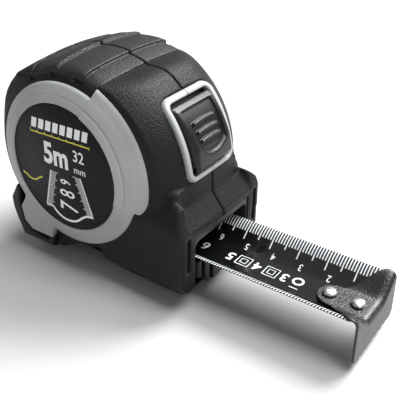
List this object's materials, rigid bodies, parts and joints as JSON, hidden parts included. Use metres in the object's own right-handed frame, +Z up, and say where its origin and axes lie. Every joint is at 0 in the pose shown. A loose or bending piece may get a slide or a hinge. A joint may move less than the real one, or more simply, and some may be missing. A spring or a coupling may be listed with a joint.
{
  "type": "tape measure",
  "caption": "Pocket tape measure with a two-part moulded case, curved steel blade, floating end hook, sliding thumb lock, sprung reel and belt clip.",
  "frame": {"origin": "on the rest plane, straight below the reel axis, in the case's middle plane", "axes": "+X the way the blade comes out, +Z up, +Y to the side with the belt clip"},
  "size_m": [0.1329, 0.0586, 0.0751],
  "materials": {
    "case_plastic": "fine moulded grain",
    "grip_rubber": "soft matte",
    "heel_rubber": "soft matte",
    "grey_plastic": "satin",
    "label_print": "printed film",
    "lock_plastic": "satin",
    "inner_plastic": "satin",
    "reel_plastic": "natural acetal",
    "blade_coat": "gloss lacquer with white marks",
    "hook_steel": "blackened steel",
    "spring_steel": "tempered",
    "bright_steel": "zinc plated",
    "brass": "turned"
  },
  "bodies": {
    "case": {"case_left": "case_plastic", "case_right": "case_plastic", "grip_left": "grip_rubber", "grip_right": "grip_rubber", "heel_left": "heel_rubber", "heel_right": "heel_rubber", "ring_left": "grey_plastic", "ring_right": "grey_plastic", "label_left": "label_print", "label_right": "label_print", "bezel_left": "grey_plastic", "bezel_right": "grey_plastic", "lock_spring": "spring_steel", "centre_post": "bright_steel", "post_washers": "brass", "mouth_guide": "inner_plastic", "lower_jaw": "inner_plastic", "belt_clip": "spring_steel", "clip_screw": "bright_steel", "case_screws": "bright_steel"},
    "lock": {"lock_slider": "lock_plastic", "lock_carrier": "inner_plastic", "brake_pad": "heel_rubber"},
    "reel": {"reel_drum": "reel_plastic", "reel_cap": "reel_plastic", "blade_coil": "blade_coat", "mainspring": "spring_steel"},
    "blade": {"blade": "blade_coat", "hook_rivets": "bright_steel"},
    "hook": {"hook": "hook_steel"}
  },
  "joints": [
    {"name": "blade_slide", "type": "slide", "parent": "case", "child": "blade", "axis": [-1, 0, 0], "range_m": [0, 0.0528]},
    {"name": "reel_spin", "type": "hinge", "parent": "case", "child": "reel", "pos_m": [0, 0, 0.041], "axis": [0, 1, 0], "range_deg": [0, 142]},
    {"name": "lock_turn", "type": "hinge", "parent": "case", "child": "lock", "pos_m": [0, 0, 0.041], "axis": [0, 1, 0], "range_deg": [0, 4.3]},
    {"name": "hook_float", "type": "slide", "parent": "blade", "child": "hook", "axis": [-1, 0, 0], "range_m": [0, 0.001]}
  ],
  "couplings": [
    {"joint": "reel_spin", "follows": "blade_slide", "rad_per_m": 46.3}
  ]
}
